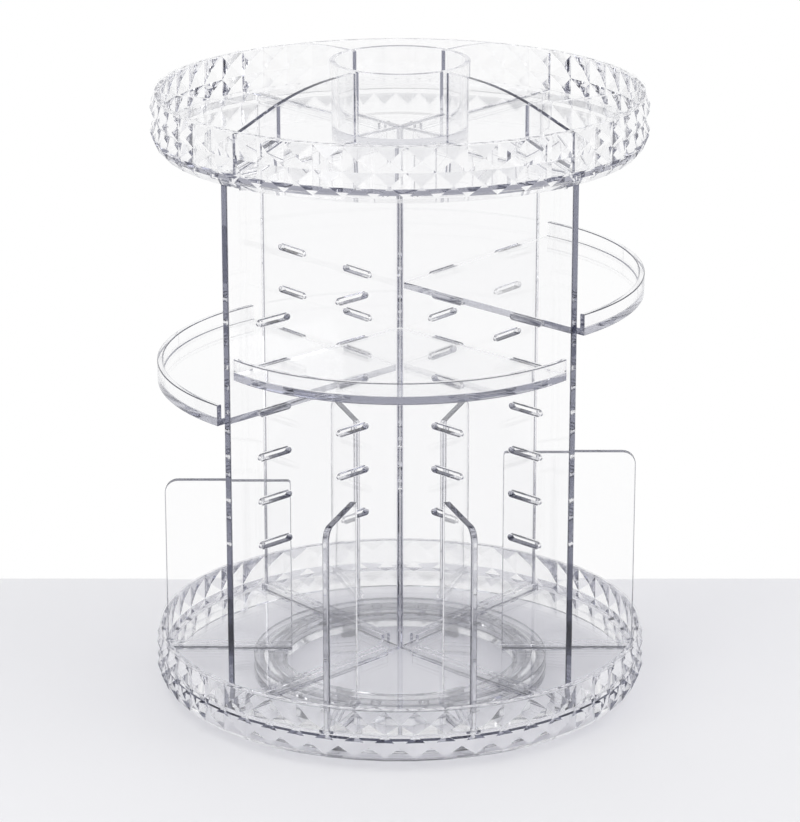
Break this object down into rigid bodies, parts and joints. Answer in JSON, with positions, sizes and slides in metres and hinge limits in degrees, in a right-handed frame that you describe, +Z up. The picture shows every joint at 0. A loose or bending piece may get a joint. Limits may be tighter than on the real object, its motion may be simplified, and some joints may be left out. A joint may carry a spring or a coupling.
{
  "type": "rotating makeup organizer",
  "caption": "Clear round tower on a ball-bearing turntable: faceted top and bottom trays, a central cup, quarter-round shelves between slotted panels, and lift-out dividers.",
  "frame": {"origin": "on the turning axis, at table level under the feet", "axes": "+Z up along the turning axis; -Y is the front, +X is the right side seen from the front"},
  "size_m": [0.2392, 0.2392, 0.311],
  "materials": {
    "clear_plastic": "gloss",
    "ring_plastic": "gloss",
    "steel": "gloss",
    "rubber": "matt"
  },
  "bodies": {
    "base": {"base_ring": "ring_plastic", "foot_pads": "rubber"},
    "bearing": {"ball_cage": "ring_plastic", "bearing_balls": "steel"},
    "tower": {"upper_ring": "ring_plastic", "lower_tray": "clear_plastic", "front_left_panel": "clear_plastic", "front_right_panel": "clear_plastic", "back_right_panel": "clear_plastic", "back_left_panel": "clear_plastic", "left_shelf": "clear_plastic", "front_shelf": "clear_plastic", "right_shelf": "clear_plastic", "upper_tray": "clear_plastic"},
    "left_divider": {"left_divider": "clear_plastic"},
    "right_divider": {"right_divider": "clear_plastic"},
    "front_left_divider": {"front_left_divider": "clear_plastic"},
    "front_right_divider": {"front_right_divider": "clear_plastic"},
    "back_left_divider": {"back_left_divider": "clear_plastic"},
    "back_right_divider": {"back_right_divider": "clear_plastic"}
  },
  "joints": [
    {"name": "spin", "type": "hinge", "parent": "base", "child": "tower", "pos_m": [0, 0, 0.0086], "axis": [0, 0, 1], "continuous": true},
    {"name": "ball_roll", "type": "hinge", "parent": "base", "child": "bearing", "pos_m": [0, 0, 0.0086], "axis": [0, 0, 1], "continuous": true},
    {"name": "left_lift", "type": "slide", "parent": "tower", "child": "left_divider", "axis": [0, 0, 1], "range_m": [0, 0.045]},
    {"name": "right_lift", "type": "slide", "parent": "tower", "child": "right_divider", "axis": [0, 0, 1], "range_m": [0, 0.07]},
    {"name": "front_left_lift", "type": "slide", "parent": "tower", "child": "front_left_divider", "axis": [0, 0, 1], "range_m": [0, 0.055]},
    {"name": "front_right_lift", "type": "slide", "parent": "tower", "child": "front_right_divider", "axis": [0, 0, 1], "range_m": [0, 0.055]},
    {"name": "back_left_lift", "type": "slide", "parent": "tower", "child": "back_left_divider", "axis": [0, 0, 1], "range_m": [0, 0.09]},
    {"name": "back_right_lift", "type": "slide", "parent": "tower", "child": "back_right_divider", "axis": [0, 0, 1], "range_m": [0, 0.09]}
  ],
  "couplings": [
    {"joint": "ball_roll", "follows": "spin", "ratio": 0.5}
  ]
}
